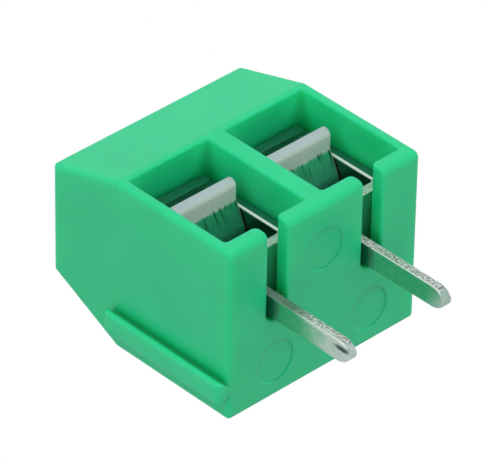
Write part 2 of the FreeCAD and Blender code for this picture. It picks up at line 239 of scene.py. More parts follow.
class Effects:
    """Shader node groups that more than one finish uses."""

    def __init__(self) -> None:
        """Builds every group once."""
        self.edges = self.build_edges()
        self.grain = self.build_grain()
        self.streaks = self.build_streaks()
        self.depth = self.build_depth()

    def speckle(self, graph: Graph, grain: Grain) -> Socket:
        """Places the grain group with a grain's values; the speckle is 0.5 on average."""
        return graph.use(self.grain, Size=grain.size, Contrast=grain.contrast,
                         Roughness=grain.roughness)["Value"]

    @staticmethod
    def new_group(name: str, inputs: list[str], outputs: list[str]) -> tuple[Graph, Node, Node]:
        """Makes an empty group with its sockets, where Normal holds a vector and every other one a number.

        Args:
            name: the group's name.
            inputs: the input names.
            outputs: the output names.

        Returns:
            The group's graph, its input node and its output node.
        """
        tree = bpy.data.node_groups.new(name, "ShaderNodeTree")
        for way, sockets in (("INPUT", inputs), ("OUTPUT", outputs)):
            for socket in sockets:
                kind = "NodeSocketVector" if socket == "Normal" else "NodeSocketFloat"
                tree.interface.new_socket(socket, in_out=way, socket_type=kind)
        graph = Graph(tree)
        return graph, graph.add("NodeGroupInput"), graph.add("NodeGroupOutput")

    @staticmethod
    def spread(graph: Graph, noise: Socket, source: Node) -> Socket:
        """Spreads noise about its middle by the group's Contrast and keeps it in 0 to 1."""
        spread = graph.product(graph.math("SUBTRACT", noise, MIDDLE), source.outputs["Contrast"])
        return graph.math("ADD", spread, MIDDLE, clamp=True)

    def build_edges(self) -> bpy.types.NodeTree:
        """Softened normals at the edges and a mask of the edges.

        Returns:
            The group, with inputs Radius and Gain and outputs Normal and Mask.
        """
        graph, source, sink = self.new_group("soft_edges", ["Radius", "Gain"], ["Normal", "Mask"])
        bevel = graph.add("ShaderNodeBevel", {"Radius": source.outputs["Radius"]}, samples=SAMPLES)
        flat = graph.add("ShaderNodeNewGeometry")
        facing = graph.vector("DOT_PRODUCT", bevel.outputs["Normal"], flat.outputs["Normal"])
        away = graph.math("SUBTRACT", 1.0, facing)
        mask = graph.math("MULTIPLY", away, source.outputs["Gain"], clamp=True)
        graph.feed(sink, {"Normal": bevel.outputs["Normal"], "Mask": mask})
        return graph.tree

    def build_grain(self) -> bpy.types.NodeTree:
        """Fine even speckle, the same in every direction.

        Returns:
            The group, with inputs Size, Contrast and Roughness and output Value, 0.5 on average.
        """
        graph, source, sink = self.new_group("grain", ["Size", "Contrast", "Roughness"], ["Value"])
        scale = graph.math("DIVIDE", 1.0, source.outputs["Size"])
        noise = graph.noise(graph.place(), Scale=scale, Detail=3.0, Roughness=source.outputs["Roughness"])
        graph.feed(sink, {"Value": self.spread(graph, noise, source)})
        return graph.tree

    def build_streaks(self) -> bpy.types.NodeTree:
        """Long thin marks, as rolling or drawing leaves them.

        Returns:
            The group, with the mark's size along X, Y and Z and Contrast as inputs and output Value,
            0.5 on average.
        """
        along = {axis.name: "Along " + axis.name for axis in Axis}
        graph, source, sink = self.new_group("streaks", [*along.values(), "Contrast"], ["Value"])
        sizes = graph.add("ShaderNodeCombineXYZ", {
            axis: source.outputs[socket] for axis, socket in along.items()})
        scaled = graph.vector("DIVIDE", graph.place(), sizes.outputs[0])
        noise = graph.noise(scaled, Scale=1.0, Detail=2.0, Roughness=0.55, Distortion=0.4)
        graph.feed(sink, {"Value": self.spread(graph, noise, source)})
        return graph.tree

    def build_depth(self) -> bpy.types.NodeTree:
        """How far a place lies back in a hollow or a crease.

        Returns:
            The group, with input Reach and output Value, 0 in the open and 1 where nothing is seen.
        """
        graph, source, sink = self.new_group("depth", ["Reach"], ["Value"])
        hollow = graph.add("ShaderNodeAmbientOcclusion", {"Distance": source.outputs["Reach"]},
                           samples=SAMPLES)
        graph.feed(sink, {"Value": graph.math("SUBTRACT", 1.0, hollow.outputs["AO"], clamp=True)})
        return graph.tree


def new_material(name: str) -> tuple[bpy.types.Material, Graph, Node]:
    """Makes an empty material with its shader and output.

    Args:
        name: the material's name.

    Returns:
        The material, its graph and its Principled shader.
    """
    material = bpy.data.materials.new(name)
    material.use_nodes = True
    material.node_tree.nodes.clear()
    graph = Graph(material.node_tree)
    shader = graph.add("ShaderNodeBsdfPrincipled")
    graph.add("ShaderNodeOutputMaterial", {"Surface": shader.outputs[0]})
    return material, graph, shader


@dataclass(frozen=True)
class MouldedPlastic:
    """Satin, translucent moulded plastic with a faint flow pattern, painted shade in its hollows and
    creases, painted light near the pocket mouths, painted highlights on its edges and rail, the witness
    line of the mould and the rims of its ejector marks, with a painted highlight on one side and painted
    shade on the other."""

    name: str
    colour: Colour
    edge_highlight_colour: Colour
    shade_and_line_colour: Colour
    painted_light_colour: Colour
    marks: tuple[Three, ...]
    mark_radius: float
    line_height: float
    rail_from: float
    refraction: float = 1.5
    roughness: Range = (0.37, 0.47)
    edge_radius: float = 0.16 * MM
    edge_gain: float = 5.0
    edge_highlight_share: float = 0.55
    rail_highlight: float = 0.35
    flow: Grain = Grain(2.5 * MM, 1.0, 0.5)
    flow_depth: float = 0.10
    skin: Grain = Grain(0.06 * MM, 1.4, 0.6)
    skin_range: Range = (0.2, 0.8)
    skin_strength: float = 0.35
    skin_height: float = 0.0006 * MM
    hollow_reach: float = 1.6 * MM
    hollow_range: Range = (0.45, 0.95)
    mouth_light_range: Range = (0.15, 0.35)
    mouth_light_back: Range = (2.2 * MM, 3.6 * MM)
    crease_reach: float = 0.7 * MM
    crease_range: Range = (0.18, 0.58)
    crease_shade_share: float = 0.8
    line_width: float = 0.035 * MM
    line_core: float = 0.4
    line_depth: float = 0.55
    line_back: float = 3.4 * MM
    line_flow: Range = (0.40, 0.60)
    line_faint: float = 0.35
    face_top: float = 0.2 * MM
    mark_rim: float = 0.05 * MM
    mark_relief: float = 0.018 * MM
    lip_side: Three = (0.7, -0.7, 0.0)
    lip_width: float = 0.06 * MM
    lip_core: float = 0.3
    lip_range: Range = (0.45, 0.95)
    rim_highlight_share: float = 0.85
    rim_shade_share: float = 0.30
    press_range: Range = (0.25, 0.85)
    depth_share: float = 1.0
    depth: float = 0.8 * MM
    depth_by_colour: Colour = (0.25, 1.0, 0.6)

    def build(self, effects: Effects) -> bpy.types.Material:
        """Makes the material.

        Args:
            effects: the shared node groups.

        Returns:
            The finished material.
        """
        material, graph, shader = new_material(self.name)
        flow = effects.speckle(graph, self.flow)
        skin = effects.speckle(graph, self.skin)
        edges = graph.use(effects.edges, Radius=self.edge_radius, Gain=self.edge_gain)
        body = self.body(graph, effects, flow)
        # Painted highlight: the rounded edges and the rail's outer face are lightened, standing in for
        # light catching them.
        rail = graph.math("GREATER_THAN", graph.along(Axis.X), self.rail_from)
        painted_highlight = graph.math("MULTIPLY_ADD", edges["Mask"], self.edge_highlight_share,
                          graph.product(rail, self.rail_highlight), clamp=True)
        colour = graph.mix(painted_highlight, body, self.edge_highlight_colour)
        colour = graph.mix(self.witness_line(graph, flow), colour, self.shade_and_line_colour)
        step, lip = self.mark_rims(graph)
        # Painted highlight on the pressed side of each mark's rim and painted shade on the other side.
        colour = graph.mix(graph.ramp(lip, *self.lip_range, 0.0, self.rim_highlight_share), colour, self.painted_light_colour)
        shade = graph.math("MULTIPLY", lip, -self.rim_shade_share, clamp=True)
        colour = graph.mix(shade, colour, self.shade_and_line_colour)
        rims = graph.bump(step, edges["Normal"], 1.0, self.mark_relief)
        graph.feed(shader, {
            "Base Color": colour,
            "Roughness": graph.ramp(skin, *self.skin_range, *self.roughness),
            "Normal": graph.bump(skin, rims, self.skin_strength, self.skin_height),
            "IOR": self.refraction,
            "Subsurface Weight": self.depth_share,
            "Subsurface Radius": self.depth_by_colour,
            "Subsurface Scale": self.depth})
        return material

    def body(self, graph: Graph, effects: Effects, flow: Socket) -> Socket:
        """Colour of the body with its flow pattern, painted shade in its hollows and creases and painted
        light near the pocket mouths.

        Args:
            graph: the graph of the material.
            effects: the shared node groups.
            flow: the flow pattern.

        Returns:
            The colour.
        """
        dark, light = (tuple(value * (1 + change) for value in self.colour)
                       for change in (-self.flow_depth, self.flow_depth))
        body = graph.mix(flow, dark, light)
        # Painted shade: hollows and creases turn deeper green where their surroundings hide them.
        hollow = graph.use(effects.depth, Reach=self.hollow_reach)["Value"]
        body = graph.mix(graph.ramp(hollow, *self.hollow_range), body, self.shade_and_line_colour)
        # Painted light: half-hidden faces near the pocket mouths are lightened, as if light falls in
        # there.
        mouth_light = graph.product(graph.ramp(hollow, *self.mouth_light_range),
                             graph.ramp(graph.along(Axis.Y), *self.mouth_light_back))
        body = graph.mix(mouth_light, body, self.painted_light_colour)
        crease = graph.use(effects.depth, Reach=self.crease_reach)["Value"]
        crease_shade = graph.ramp(crease, *self.crease_range, 0.0, self.crease_shade_share)
        return graph.mix(crease_shade, body, self.shade_and_line_colour)

    def witness_line(self, graph: Graph, flow: Socket) -> Socket:
        """Fine line along the back shoulder, where the mould's halves meet.

        Args:
            graph: the graph of the material.
            flow: the flow pattern, which lets the line fade in and out.

        Returns:
            The line's mask.
        """
        off = graph.apart(graph.along(Axis.Z), self.line_height)
        line = graph.ramp(off, self.line_width * self.line_core, self.line_width, self.line_depth, 0.0)
        back = graph.math("GREATER_THAN", graph.along(Axis.Y), self.line_back)
        return graph.product(line, back, graph.ramp(flow, *self.line_flow, self.line_faint, 1.0))

    def mark_rims(self, graph: Graph) -> tuple[Socket, Socket]:
        """Rounded step at the rim of each ejector mark and a one-sided lip mask for the rim's painted
        highlight and painted shade, on the board face only.

        The third number of a mark says how deep it is pressed in on its -X, +Y side, from 0 to 1.

        Args:
            graph: the graph of the material.

        Returns:
            The height, 0 inside the marks and 1 outside, and the lip, from 1 where the mark was pressed
            in towards +X and -Y down to -1 on the other side; above 0 it places a painted highlight
            and below 0 painted shade.
        """
        flat = graph.vector("MULTIPLY", graph.place(), FLAT)
        towards = tuple(value / self.mark_radius for value in self.lip_side)
        height = 1.0
        lip = 0.0
        for x, y, evenness in self.marks:
            offset = graph.vector("SUBTRACT", flat, (x, y, 0.0))
            away = graph.vector("LENGTH", offset)
            side = graph.vector("DOT_PRODUCT", offset, towards)
            band = graph.ramp(graph.apart(away, self.mark_radius),
                              self.lip_width * self.lip_core, self.lip_width, 1.0, 0.0)
            pressed = graph.ramp(side, *self.press_range, evenness, 1.0)
            lip = graph.math("MULTIPLY_ADD", graph.product(band, pressed), side, lip)
            floor = graph.ramp(away, self.mark_radius + self.mark_rim, self.mark_radius - self.mark_rim)
            height = graph.math("SUBTRACT", height, graph.product(floor, pressed))
        below = graph.math("LESS_THAN", graph.along(Axis.Z), self.face_top)
        return graph.product(height, below), graph.product(lip, below)


@dataclass(frozen=True)
class PlatedStrip:
    """Plated strip metal: speckled plating over rolled marks, coarse and duller on its cut edges, with
    painted highlights along its edges.
    """

    name: str
    light: Colour
    dark: Colour
    marks: tuple[Axis, ...]
    cut_axis: Axis
    smooth: float = 0.08
    rough: float = 0.24
    rough_range: Range = (0.15, 0.85)
    mark_length: float = 1.6 * MM
    mark_width: float = 0.07 * MM
    mark_contrast: float = 2.2
    mark_depth: float = 0.6
    speckle: Grain = Grain(0.055 * MM, 2.6, 0.7)
    grain_strength: float = 0.6
    grain_height: float = 0.0025 * MM
    edge_radius: float = 0.07 * MM
    edge_gain: float = 5.0
    edge_shine: float = 0.9
    edge_highlight_colour: Colour = (0.97, 0.99, 0.98)
    cut_range: Range = (0.80, 0.90)
    cut_grain: Grain = Grain(0.12 * MM, 4.5, 0.75)
    cut_light: Colour = (0.95, 0.98, 0.96)
    cut_dark: Colour = (0.16, 0.24, 0.20)
    cut_dull: float = 0.45
    cut_rough: float = 0.2

    def build(self, effects: Effects) -> bpy.types.Material:
        """Makes the material.

        Args:
            effects: the shared node groups.

        Returns:
            The finished material.
        """
        material, graph, shader = new_material(self.name)
        sizes = {"Along_" + axis.name: self.mark_length if axis in self.marks else self.mark_width
                 for axis in Axis}
        marks = graph.use(effects.streaks, Contrast=self.mark_contrast, **sizes)["Value"]
        speckle = effects.speckle(graph, self.speckle)
        coarse = effects.speckle(graph, self.cut_grain)
        edges = graph.use(effects.edges, Radius=self.edge_radius, Gain=self.edge_gain)
        facing = graph.math("ABSOLUTE", graph.along(self.cut_axis, "Normal"))
        cut = graph.ramp(facing, *self.cut_range)
        both = graph.math("MULTIPLY_ADD", speckle, 1 - self.mark_depth,
                          graph.product(marks, self.mark_depth))
        both = self.region(graph, both)
        colour = self.stain(graph, graph.mix(both, self.dark, self.light))
        torn = self.cut_edge_light_and_shade(graph, graph.mix(coarse, self.cut_dark, self.cut_light))
        colour = graph.mix(cut, colour, torn)
        # Painted highlight along the strip's edges.
        shine = graph.math("MULTIPLY", self.edge_share(graph), self.edge_shine)
        rough = graph.ramp(both, *self.rough_range, self.smooth, self.rough)
        metal = self.metal_share(graph)
        graph.feed(shader, {
            "Base Color": graph.mix(graph.product(edges["Mask"], shine), colour, self.edge_highlight_colour),
            "Metallic": graph.math("MULTIPLY_ADD", cut, -self.cut_dull, metal, clamp=True),
            "Roughness": graph.math("MULTIPLY_ADD", cut, self.cut_rough, rough, clamp=True),
            "Normal": graph.bump(graph.blend(cut, both, coarse), edges["Normal"],
                                 self.grain_strength, self.grain_height)})
        return material

    def cut_edge_light_and_shade(self, graph: Graph, colour: Socket) -> Socket:
        """Changes the cut edges' colour over a part of the piece; plain strip keeps it."""
        return colour

    def edge_share(self, graph: Graph) -> Number:
        """How bright the painted edge highlights are, 0 to 1; plain strip has them alike everywhere."""
        return 1.0

    def metal_share(self, graph: Graph) -> Number:
        """How far the bare metal shows, 0 to 1; plain strip is metal all over."""
        return 1.0

    def region(self, graph: Graph, value: Socket) -> Socket:
        """Changes the marks and speckle over a part of the piece; plain strip keeps them."""
        return value

    def stain(self, graph: Graph, colour: Socket) -> Socket:
        """Changes the plating's colour over a part of the piece; plain strip keeps it."""
        return colour


@dataclass(frozen=True)
class FoldedStrip(PlatedStrip):
    """Strip whose fold is matt and light with painted shade on its top-facing side, while its ramp has a
    painted green reflection of the housing, a rolled gloss and dark streaks.
    """

    light: Colour = (0.93, 0.98, 0.97)
    dark: Colour = (0.30, 0.36, 0.34)
    marks: tuple[Axis, ...] = (Axis.Y, Axis.Z)
    cut_axis: Axis = Axis.X
    smooth: float = 0.22
    rough: float = 0.60
    mark_depth: float = 0.35
    grain_height: float = 0.001 * MM
    fold_range: Range = (2.12 * MM, 2.26 * MM)
    fold_ragged: float = 0.25 * MM
    fold_top_shade: Colour = (0.42, 0.55, 0.58)
    fold_facing: Range = (0.30, 0.95)
    fold_cover: float = 0.85
    fold_calm: float = 0.88
    fold_value: float = 0.80
    fold_metal: float = 0.05
    # The ramp's light colour is a painted green reflection of the housing; its dark colour is that of the
    # streaks.
    ramp_green_reflection: Colour = (0.07, 0.54, 0.32)
    ramp_dark: Colour = (0.01, 0.10, 0.06)
    ramp_metal: float = 0.45
    streak_size: Three = (0.14 * MM, 1.0 * MM, 1.0 * MM)
    streak_range: Range = (0.48, 0.36)
    streak_to: float = 1.45 * MM

    def fold_mask(self, graph: Graph, low: float, high: float) -> Socket:
        """Tells the fold from the ramp, with a ragged border.

        Args:
            graph: the graph of the material.
            low: the result on the ramp.
            high: the result on the fold.

        Returns:
            The result at each place.
        """
        shift = graph.math("SUBTRACT", self.streak_noise(graph), MIDDLE)
        reached = graph.math("MULTIPLY_ADD", shift, self.fold_ragged, graph.along(Axis.Y))
        return graph.ramp(reached, *self.fold_range, low, high)

    def streak_noise(self, graph: Graph) -> Socket:
        """Noise drawn out down the ramp, 0.5 on average."""
        return graph.noise(graph.vector("DIVIDE", graph.place(), self.streak_size), Scale=1.0, Detail=1.5)

    def region(self, graph: Graph, value: Socket) -> Socket:
        """Lifts the value towards matt and light on the fold."""
        calm = graph.product(value, self.fold_mask(graph, 1.0, 1.0 - self.fold_calm))
        return graph.math("ADD", calm, self.fold_mask(graph, 0.0, self.fold_value), clamp=True)

    def stain(self, graph: Graph, colour: Socket) -> Socket:
        """Gives the ramp its painted green reflection and dark streaks and the fold's top-facing side
        painted shade.

        Args:
            graph: the graph of the material.
            colour: the colour of the plating.

        Returns:
            The changed colour.
        """
        streak = graph.ramp(self.streak_noise(graph), *self.streak_range)
        strength = graph.ramp(graph.along(Axis.Y), self.streak_to, self.fold_range[0])
        # Painted green reflection of the housing on the ramp, with dark streaks from rolling.
        ramp = graph.mix(graph.product(streak, strength), self.ramp_green_reflection, self.ramp_dark)
        # Painted shade on the fold's top-facing side, set by the way it faces.
        top = graph.ramp(graph.along(Axis.Y, "Normal"), *self.fold_facing, 0.0, self.fold_cover)
        return graph.mix(self.fold_mask(graph, 0.0, 1.0), ramp, graph.mix(top, colour, self.fold_top_shade))

    def metal_share(self, graph: Graph) -> Socket:
        """Less bare metal where the fold is matt."""
        return self.fold_mask(graph, self.ramp_metal, self.fold_metal)


@dataclass(frozen=True)
class ContactStrip(PlatedStrip):
    """Contact strip with painted shade inside its ring, on its top and on its cut edges, a less metallic
    neck in its slot with painted shade and a painted green reflection, a painted green reflection along
    the pin and painted highlights on the floor's cut edge, the burr and the ridge.
    """

    light: Colour = (0.80, 0.88, 0.84)
    dark: Colour = (0.34, 0.50, 0.42)
    marks: tuple[Axis, ...] = (Axis.Z,)
    cut_axis: Axis = Axis.Y
    pole_x: float = 0.0
    mark_depth: float = 0.3
    ring_half: float = 1.62 * MM
    ring_back: float = 1.85 * MM
    ring_under: float = 1.20 * MM
    # The ring edge, inside and ceiling colours are painted shade.
    ring_edge_shade: Colour = (0.01, 0.17, 0.09)
    inside: Colour = (0.16, 0.26, 0.21)
    ceiling_shade: Colour = (0.03, 0.30, 0.16)
    ceiling_from: float = 5.2 * MM
    floor_top: float = 1.70 * MM
    floor_half: float = 0.3 * MM
    floor_edge_highlight: Colour = (0.96, 1.0, 1.0)
    floor_highlight_share: float = 0.55
    burr: float = 0.12 * MM
    ridge_from: float = 0.14 * MM
    ridge_top: float = -0.2 * MM
    ridge_highlight_share: float = 0.8
    base: Colour = (0.01, 0.20, 0.11)
    neck: Colour = (0.08, 0.72, 0.40)
    neck_range: Range = (0.30 * MM, 0.80 * MM)
    slot_range: Range = (-0.45 * MM, 0.0)
    slot_dull: float = 0.75
    pin_metal: float = 0.80
    pin_range: Range = (0.0, 0.3 * MM)
    pin_top: float = 0.1 * MM
    pin_green_reflection: Colour = (0.10, 0.62, 0.40)
    tint_share: Range = (0.255, 0.85)
    tint_noise: Range = (0.62, 0.48)
    tint_range: Range = (-4.1 * MM, -3.2 * MM)
    tint_left: float = 0.2
    tint_grain: float = 0.09 * MM

    def stain(self, graph: Graph, colour: Socket) -> Socket:
        """Paints shade on the ring's inner faces and top, shade and a green reflection on the neck above
        the board face and a green reflection on the pin.

        Args:
            graph: the graph of the material.
            colour: the colour of the plating.

        Returns:
            The changed colour.
        """
        height = graph.along(Axis.Z)
        within = graph.math("LESS_THAN", graph.apart(graph.along(Axis.X), self.pole_x), self.ring_half)
        before = graph.math("LESS_THAN", graph.along(Axis.Y), self.ring_back)
        above = graph.math("GREATER_THAN", height, self.ring_under)
        # Painted shade inside the ring.
        ring = graph.mix(graph.product(within, before, above), colour, self.inside)
        # Painted shade on the strip's top, high in the pocket.
        high = graph.math("GREATER_THAN", height, self.ceiling_from)
        ring = graph.mix(high, ring, self.ceiling_shade)
        # Painted green reflection of the housing along the pin.
        strip = graph.mix(self.green_reflection_mask(graph), ring, self.pin_green_reflection)
        # Painted shade deep in the slot and a painted green reflection of the housing higher up the neck.
        neck = graph.mix(graph.ramp(height, *self.neck_range), self.base, self.neck)
        return graph.mix(self.in_slot(graph), strip, neck)

    def green_reflection_mask(self, graph: Graph) -> Socket:
        """Finds where the pin gets its painted green reflection, speckled and fading towards its tip.

        Args:
            graph: the graph of the material.

        Returns:
            How far the painted reflection covers the metal.
        """
        noise = graph.noise(graph.place(), Scale=1 / self.tint_grain, Detail=2.0)
        speckled = graph.ramp(noise, *self.tint_noise, *self.tint_share)
        length = graph.ramp(graph.along(Axis.Z), *self.tint_range, self.tint_left, 1.0)
        return graph.product(speckled, length, graph.math("LESS_THAN", graph.along(Axis.Z), self.pin_top))

    def in_slot(self, graph: Graph) -> Socket:
        """Finds the neck and the ring's underside, which face the housing.

        Args:
            graph: the graph of the material.

        Returns:
            Their mask.
        """
        slot = graph.ramp(graph.along(Axis.Z), *self.slot_range)
        above = graph.math("GREATER_THAN", graph.along(Axis.Z), self.ring_under)
        return graph.math("SUBTRACT", slot, above, clamp=True)

    def ring_edges(self, graph: Graph) -> tuple[Socket, Socket]:
        """Finds the ring's edges that get painted shade and the burr along its inner corner, which gets a
        painted highlight.

        Args:
            graph: the graph of the material.

        Returns:
            The mask of the shaded edges and the mask of the burr.
        """
        off = graph.math("SUBTRACT", graph.apart(graph.along(Axis.X), self.pole_x), self.ring_half)
        walls = graph.math("GREATER_THAN", graph.along(Axis.Z), self.floor_top)
        high = graph.math("GREATER_THAN", graph.along(Axis.Z), self.ceiling_from)
        beyond = graph.product(graph.math("GREATER_THAN", off, self.burr), walls)
        corner = graph.math("COMPARE", off, self.burr / 2, self.burr / 2)
        burr = graph.math("SUBTRACT", graph.product(corner, walls), high, clamp=True)
        return graph.math("MAXIMUM", beyond, high), burr

    def cut_edge_light_and_shade(self, graph: Graph, colour: Socket) -> Socket:
        """Paints shade on the ring's cut edges and highlights on its floor's cut edge, its burr and the
        ridge along the pin.

        Args:
            graph: the graph of the material.
            colour: the colour of the cut edges.

        Returns:
            The changed colour.
        """
        shaded_edges, burr = self.ring_edges(graph)
        height = graph.along(Axis.Z)
        floor = graph.math("COMPARE", height, self.floor_top - self.floor_half, self.floor_half)
        # Painted shade on the ring's cut edges.
        colour = graph.mix(shaded_edges, colour, self.ring_edge_shade)
        # Painted highlight on the floor's cut edge.
        colour = graph.mix(graph.product(floor, self.floor_highlight_share), colour, self.floor_edge_highlight)
        aside = graph.math("SUBTRACT", graph.along(Axis.X), self.pole_x)
        ridge = graph.product(graph.math("GREATER_THAN", aside, self.ridge_from),
                              graph.math("LESS_THAN", height, self.ridge_top), self.ridge_highlight_share)
        # Painted highlight on the burr and on the ridge along the pin.
        return graph.mix(graph.math("MAXIMUM", burr, ridge), colour, WHITE)

    def edge_share(self, graph: Graph) -> Socket:
        """No painted edge highlights on the ring's shaded edges and in the slot."""
        shaded_edges, _ = self.ring_edges(graph)
        return graph.math("SUBTRACT", 1.0, graph.math("MAXIMUM", shaded_edges, self.in_slot(graph)))

    def metal_share(self, graph: Graph) -> Socket:
        """Less bare metal where the strip faces the housing and along its shaded edges.

        Args:
            graph: the graph of the material.

        Returns:
            The share at each place.
        """
        shaded_edges, burr = self.ring_edges(graph)
        hidden = graph.math("MAXIMUM", self.in_slot(graph), shaded_edges)
        bare = graph.math("MULTIPLY_ADD", hidden, -self.slot_dull, 1.0)
        pin = graph.ramp(graph.along(Axis.Z), *self.pin_range, self.pin_metal, 1.0)
        return graph.product(graph.math("SUBTRACT", bare, burr, clamp=True), pin)


@dataclass(frozen=True)
class HammeredPin(ContactStrip):
    """Contact strip whose pin is hammered lighter towards its tip, with painted shade in one dimple and a
    painted dark green reflection on its cut edges towards the base.
    """

    tint_range: Range = (-2.3 * MM, -1.0 * MM)
    tip_range: Range = (-1.9 * MM, -1.0 * MM)
    tip_lift: Range = (0.35, -0.12)
    tip_ragged: float = 2.5 * MM
    patch_size: float = 0.35 * MM
    patches: float = 0.8
    dimple: Three = (2.79 * MM, 0.20 * MM, -3.80 * MM)
    dimple_radius: Range = (0.064 * MM, 0.16 * MM)
    dimple_squeeze: Three = (1.0, 1.0, 0.28)
    dimple_share: float = 0.95
    dimple_shade_colour: Colour = (0.02, 0.06, 0.05)
    base_edge_shade: Colour = (0.10, 0.22, 0.16)
    base_shade_share: float = 0.85

    def region(self, graph: Graph, value: Socket) -> Socket:
        """Lightens the tip unevenly.

        Args:
            graph: the graph of the material.
            value: the mixed marks and speckle.

        Returns:
            The changed value.
        """
        uneven = graph.noise(graph.place(), Scale=1 / self.patch_size, Detail=3.0)
        shift = graph.math("SUBTRACT", uneven, MIDDLE)
        reached = graph.math("ADD", graph.along(Axis.Z), graph.product(shift, self.tip_ragged))
        tip = graph.ramp(reached, *self.tip_range, *self.tip_lift)
        lifted = graph.math("ADD", value, tip)
        return graph.math("ADD", lifted, graph.product(shift, self.patches), clamp=True)

    def stain(self, graph: Graph, colour: Socket) -> Socket:
        """Adds painted shade for a dimple near the tip.

        Args:
            graph: the graph of the material.
            colour: the colour of the plating.

        Returns:
            The changed colour.
        """
        offset = graph.vector("SUBTRACT", graph.place(), self.dimple)
        away = graph.vector("LENGTH", graph.vector("MULTIPLY", offset, self.dimple_squeeze))
        mask = graph.ramp(away, *self.dimple_radius, self.dimple_share, 0.0)
        # Painted shade of the dimple.
        return graph.mix(mask, super().stain(graph, colour), self.dimple_shade_colour)

    def cut_edge_light_and_shade(self, graph: Graph, colour: Socket) -> Socket:
        """Paints a dark green reflection on the pin's cut edges too, up to where the hammering starts.

        Args:
            graph: the graph of the material.
            colour: the colour of the cut edges.

        Returns:
            The changed colour.
        """
        # Painted dark green reflection on the pin's cut edges towards the base.
        near = graph.ramp(graph.along(Axis.Z), *self.tip_range, 0.0, self.base_shade_share)
        pin = graph.math("LESS_THAN", graph.along(Axis.Z), self.ring_under)
        return graph.mix(graph.product(near, pin), super().cut_edge_light_and_shade(graph, colour), self.base_edge_shade)


@dataclass(frozen=True)
class TurnedScrew:
    """Bright zinc over turned steel, with rings round the screw's axis."""

    name: str
    light: Colour = (0.86, 0.87, 0.88)
    dark: Colour = (0.60, 0.62, 0.64)
    roughness: Range = (0.18, 0.38)
    ring_pitch: float = 0.06 * MM
    ring_strength: float = 0.5
    ring_height: float = 0.0012 * MM
    speckle: Grain = Grain(0.12 * MM, 1.8, 0.6)
    speckle_range: Range = (0.2, 0.8)
    edge_radius: float = 0.04 * MM
    edge_gain: float = 4.0

    def build(self, effects: Effects, axis_place: Vector) -> bpy.types.Material:
        """Makes the material of one screw.

        Args:
            effects: the shared node groups.
            axis_place: a point on the screw's axis.

        Returns:
            The finished material.
        """
        material, graph, shader = new_material(self.name)
        from_axis = graph.vector("SUBTRACT", graph.place(), axis_place)
        radius = graph.vector("LENGTH", graph.vector("MULTIPLY", from_axis, FLAT))
        turns = graph.product(radius, 2 * math.pi / self.ring_pitch)
        rings = graph.math("MULTIPLY_ADD", graph.math("SINE", turns), 0.5, 0.5)
        speckle = effects.speckle(graph, self.speckle)
        edges = graph.use(effects.edges, Radius=self.edge_radius, Gain=self.edge_gain)
        graph.feed(shader, {
            "Base Color": graph.mix(speckle, self.dark, self.light),
            "Metallic": 1.0,
            "Roughness": graph.ramp(speckle, *self.speckle_range, *self.roughness),
            "Normal": graph.bump(rings, edges["Normal"], self.ring_strength, self.ring_height)})
        return material


def dress(node: bpy.types.Object, material: bpy.types.Material, smooth_degrees: float) -> None:
    """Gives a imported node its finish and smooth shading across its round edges.

    Args:
        node: the node's object.
        material: its finish.
        smooth_degrees: faces that meet at less than this are shaded as one.
    """
    mesh = node.data
    mesh.materials.clear()
    mesh.materials.append(material)
    mesh.shade_smooth()
    mesh.set_sharp_from_angle(angle=math.radians(smooth_degrees))


def to_mesh(name: str, form: bmesh.types.BMesh) -> bpy.types.Mesh:
    """Turns a form under construction into a mesh.

    Args:
        name: the mesh's name.
        form: the form, which can't be used any more.

    Returns:
        The mesh.
    """
    mesh = bpy.data.meshes.new(name)
    form.to_mesh(mesh)
    form.free()
    return mesh


def show(name: str, data: bpy.types.ID) -> bpy.types.Object:
    """Puts a mesh, a lamp or a camera into the scene.

    Args:
        name: the object's name.
        data: what the object holds.

    Returns:
        The object.
    """
    piece = bpy.data.objects.new(name, data)
    bpy.context.scene.collection.objects.link(piece)
    return piece


@dataclass
class Housing:
    """The moulded housing with its rail, wells, entries and pockets."""

    node: str = "housing"
    smooth_degrees: float = 35.0
    finish: MouldedPlastic = MouldedPlastic(
        name="mint_green_plastic",
        colour=(0.012, 0.74, 0.33),
        # The edge colour is a painted highlight, the deep colour is painted shade that the witness line
        # shares, and the rim colour is painted light.
        edge_highlight_colour=(0.03, 0.80, 0.39),
        shade_and_line_colour=(0.002, 0.52, 0.16),
        painted_light_colour=(0.06, 0.97, 0.52),
        marks=((-HALF_PITCH, -2.65 * MM, 1.0), (HALF_PITCH, -2.65 * MM, 0.2), (0.0, 1.51 * MM, 0.1)),
        mark_radius=0.95 * MM,
        line_height=6.43 * MM,
        rail_from=5.35 * MM)

    def build(self, effects: Effects) -> None:
        """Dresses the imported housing."""
        dress(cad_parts[self.node], self.finish.build(effects), self.smooth_degrees)
        log.info("housing dressed")


@dataclass
class PoleMetal:
    """The bent strip contact and the folded wire guard of one pole."""

    number: int
    contact_finish: PlatedStrip
    guard_finish: PlatedStrip
    smooth_degrees: float = 32.0

    def build(self, effects: Effects) -> None:
        """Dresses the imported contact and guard.

        Args:
            effects: the shared node groups.
        """
        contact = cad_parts["contact_%d" % self.number]
        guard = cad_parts["wire_guard_%d" % self.number]
        dress(contact, self.contact_finish.build(effects), self.smooth_degrees)
        dress(guard, self.guard_finish.build(effects), self.smooth_degrees)
        log.info("contact and wire guard of pole %d dressed", self.number)


